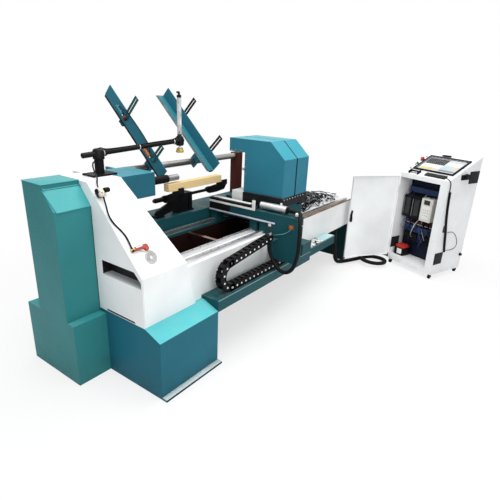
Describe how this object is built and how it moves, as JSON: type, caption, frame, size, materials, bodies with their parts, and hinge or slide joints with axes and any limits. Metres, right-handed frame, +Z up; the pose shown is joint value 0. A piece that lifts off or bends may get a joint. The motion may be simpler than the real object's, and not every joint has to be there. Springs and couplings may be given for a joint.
{
  "type": "cnc wood lathe",
  "caption": "Automatic-feed CNC wood lathe: teal and white headstock, long bed with carriage and hooded tool, slanted blank loader, presser arm and a separate control cabinet.",
  "frame": {"origin": "On the floor under the spindle axis, at the middle of the headstock base's length.", "axes": "+X along the bed from the headstock to the tail end, +Y to the back, +Z up."},
  "size_m": [3.9906, 2.4322, 1.8089],
  "materials": {
    "teal_paint": "satin",
    "white_paint": "satin",
    "black_paint": "satin",
    "primer_paint": "matt",
    "blue_plate": "satin",
    "ground_steel": "ground",
    "cast_iron": "painted",
    "aluminium": "anodised",
    "brass": "turned",
    "black_plastic": "moulded",
    "white_plastic": "moulded",
    "red_plastic": "moulded",
    "green_plastic": "moulded",
    "black_rubber": "matt",
    "wood": "sawn"
  },
  "bodies": {
    "machine": {"headstock_base": "teal_paint", "headstock_pedestal": "white_paint", "end_panel": "white_paint", "spindle_box": "teal_paint", "spindle_bearings": "ground_steel", "spindle_motor": "cast_iron", "drive_belt": "black_rubber", "motor_box": "teal_paint", "belt_tower": "teal_paint", "front_beam": "white_paint", "back_beam": "teal_paint", "chip_trough": "primer_paint", "bed_rails": "ground_steel", "bed_legs": "teal_paint", "chain_tray": "teal_paint", "drag_chain": "black_plastic", "loader_bar": "ground_steel", "bar_post": "primer_paint", "loader_brackets": "black_paint", "loader_channels": "teal_paint", "gate_cylinders": "aluminium", "lifter_stand": "black_paint", "arm_post": "black_paint", "air_filter": "white_plastic", "air_hose": "black_rubber", "air_gun": "red_plastic", "gun_hose": "white_plastic", "control_hose": "black_rubber", "cable_coil": "black_rubber", "cabinet_body": "white_paint", "console_panel": "black_plastic", "cabinet_equipment": "blue_plate", "castor_forks": "ground_steel"},
    "spindle": {"spindle_shaft": "ground_steel", "spindle_chuck": "black_paint", "spindle_pulley": "cast_iron"},
    "motor_drive": {"motor_pulley": "cast_iron"},
    "lid": {"tower_lid": "teal_paint"},
    "carriage": {"carriage_saddle": "teal_paint", "carriage_apron": "teal_paint", "cross_motor": "aluminium", "carriage_conduit": "black_rubber"},
    "cross_slide": {"cross_table": "ground_steel", "tool_hood": "teal_paint", "tool_post": "ground_steel"},
    "tailstock": {"tailstock_body": "teal_paint"},
    "quill": {"tail_quill": "ground_steel"},
    "swing_arm": {"presser_arm": "black_paint", "presser_cylinder": "aluminium"},
    "presser": {"presser_rod": "brass"},
    "upper_gates": {"gate_upper": "teal_paint"},
    "lower_gates": {"gate_lower": "teal_paint"},
    "lifter": {"lift_rocker": "black_paint", "work_blank": "wood"},
    "door": {"cabinet_door": "white_paint"},
    "latch": {"door_handle": "black_plastic"},
    "stop": {"stop_button": "red_plastic"},
    "start": {"start_button": "green_plastic"},
    "front_castors": {"castor_wheels_front": "black_rubber"},
    "rear_castors": {"castor_wheels_rear": "black_rubber"}
  },
  "joints": [
    {"name": "spindle_turn", "type": "hinge", "parent": "machine", "child": "spindle", "pos_m": [0, 0, 1.161], "axis": [1, 0, 0], "continuous": true},
    {"name": "motor_turn", "type": "hinge", "parent": "machine", "child": "motor_drive", "pos_m": [-0.372, 0, 0.215], "axis": [1, 0, 0], "continuous": true},
    {"name": "lid_hinge", "type": "hinge", "parent": "machine", "child": "lid", "pos_m": [-0.3785, -0.07779, 1.23416], "axis": [-1, 0, 0], "range_deg": [0, 95]},
    {"name": "carriage_slide", "type": "slide", "parent": "machine", "child": "carriage", "axis": [1, 0, 0], "range_m": [-0.04, 0.35], "deforming": ["drag_chain"]},
    {"name": "cross_slide_feed", "type": "slide", "parent": "carriage", "child": "cross_slide", "axis": [0, 1, 0], "range_m": [-0.16, 0.05]},
    {"name": "tailstock_slide", "type": "slide", "parent": "machine", "child": "tailstock", "axis": [1, 0, 0], "range_m": [0, 0.2]},
    {"name": "quill_slide", "type": "slide", "parent": "tailstock", "child": "quill", "axis": [1, 0, 0], "range_m": [-0.1, 0.06]},
    {"name": "arm_swing", "type": "hinge", "parent": "machine", "child": "swing_arm", "pos_m": [-0.064, 0, 1.36], "axis": [0, 0, -1], "range_deg": [0, 90]},
    {"name": "presser_stroke", "type": "slide", "parent": "swing_arm", "child": "presser", "axis": [0, 0, -1], "range_m": [0, 0.15]},
    {"name": "upper_gate_turn", "type": "hinge", "parent": "machine", "child": "upper_gates", "pos_m": [0.8, 0.45043, 1.57251], "axis": [-1, 0, 0], "range_deg": [0, 35]},
    {"name": "lower_gate_turn", "type": "hinge", "parent": "machine", "child": "lower_gates", "pos_m": [0.8, 0.15264, 1.28347], "axis": [-1, 0, 0], "range_deg": [0, 35]},
    {"name": "lifter_turn", "type": "hinge", "parent": "machine", "child": "lifter", "pos_m": [0.85, 0.135, 0.965], "axis": [1, 0, 0], "range_deg": [0, 10]},
    {"name": "door_hinge", "type": "hinge", "parent": "machine", "child": "door", "pos_m": [3.01965, -1.00064, 0.55], "axis": [0, 0, 1], "range_deg": [0, 106]},
    {"name": "latch_turn", "type": "hinge", "parent": "door", "child": "latch", "pos_m": [2.60065, -0.66306, 0.61], "axis": [-0.6143, -0.7891, 0], "range_deg": [0, 90]},
    {"name": "stop_press", "type": "slide", "parent": "machine", "child": "stop", "axis": [0.3768, -0.1515, -0.9138], "range_m": [0, 0.005], "stiffness_N_per_m": 800},
    {"name": "start_press", "type": "slide", "parent": "machine", "child": "start", "axis": [0.3768, -0.1515, -0.9138], "range_m": [0, 0.004], "stiffness_N_per_m": 500},
    {"name": "front_castor_roll", "type": "hinge", "parent": "machine", "child": "front_castors", "pos_m": [2.9447, -1.28092, 0.025], "axis": [-0.373, -0.9278, 0], "continuous": true},
    {"name": "rear_castor_roll", "type": "hinge", "parent": "machine", "child": "rear_castors", "pos_m": [3.36409, -1.44951, 0.025], "axis": [-0.373, -0.9278, 0], "continuous": true}
  ],
  "couplings": [
    {"joint": "motor_turn", "follows": "spindle_turn", "ratio": 1.25}
  ]
}
